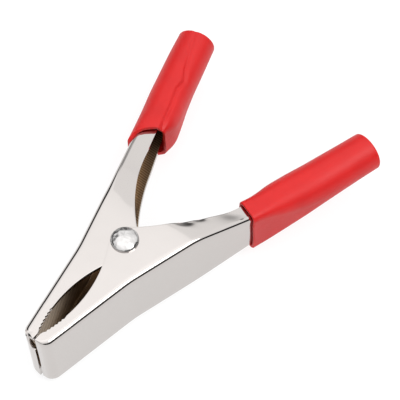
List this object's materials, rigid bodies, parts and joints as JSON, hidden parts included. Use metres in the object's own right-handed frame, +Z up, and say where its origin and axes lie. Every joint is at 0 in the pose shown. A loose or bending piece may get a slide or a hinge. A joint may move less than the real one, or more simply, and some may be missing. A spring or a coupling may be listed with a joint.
{
  "type": "alligator clip",
  "caption": "Spring alligator clip: two folded sheet-metal jaw halves with toothed tips on a domed rivet, closed by a torsion spring, with red plastic sleeves on the handles.",
  "frame": {"origin": "under the middle of the clip's box, on the surface it lies on, at the level of the rivet's lower button", "axes": "+X along the clip's centre line from the jaws towards the handles, +Y towards the left half, +Z up along the pivot axis"},
  "size_m": [0.0762, 0.0516, 0.0188],
  "materials": {
    "nickel_steel": "bright nickel plate on folded steel strip",
    "rivet_steel": "satin, slightly hammered dome",
    "spring_steel": "dark drawn wire",
    "red_vinyl": "semi-gloss soft vinyl"
  },
  "bodies": {
    "fixed_half": {"jaw_right": "nickel_steel", "rivet": "rivet_steel", "sleeve_right": "red_vinyl", "spring": "spring_steel"},
    "swinging_half": {"jaw_left": "nickel_steel", "sleeve_left": "red_vinyl"}
  },
  "joints": [
    {"name": "jaw_pivot", "type": "hinge", "parent": "fixed_half", "child": "swinging_half", "pos_m": [-0.01243, 0, 0.0091], "axis": [0, 0, -1], "range_deg": [0, 36], "stiffness_Nm_per_rad": 0.48, "springref_deg": -41.83, "deforming": ["spring"]}
  ]
}
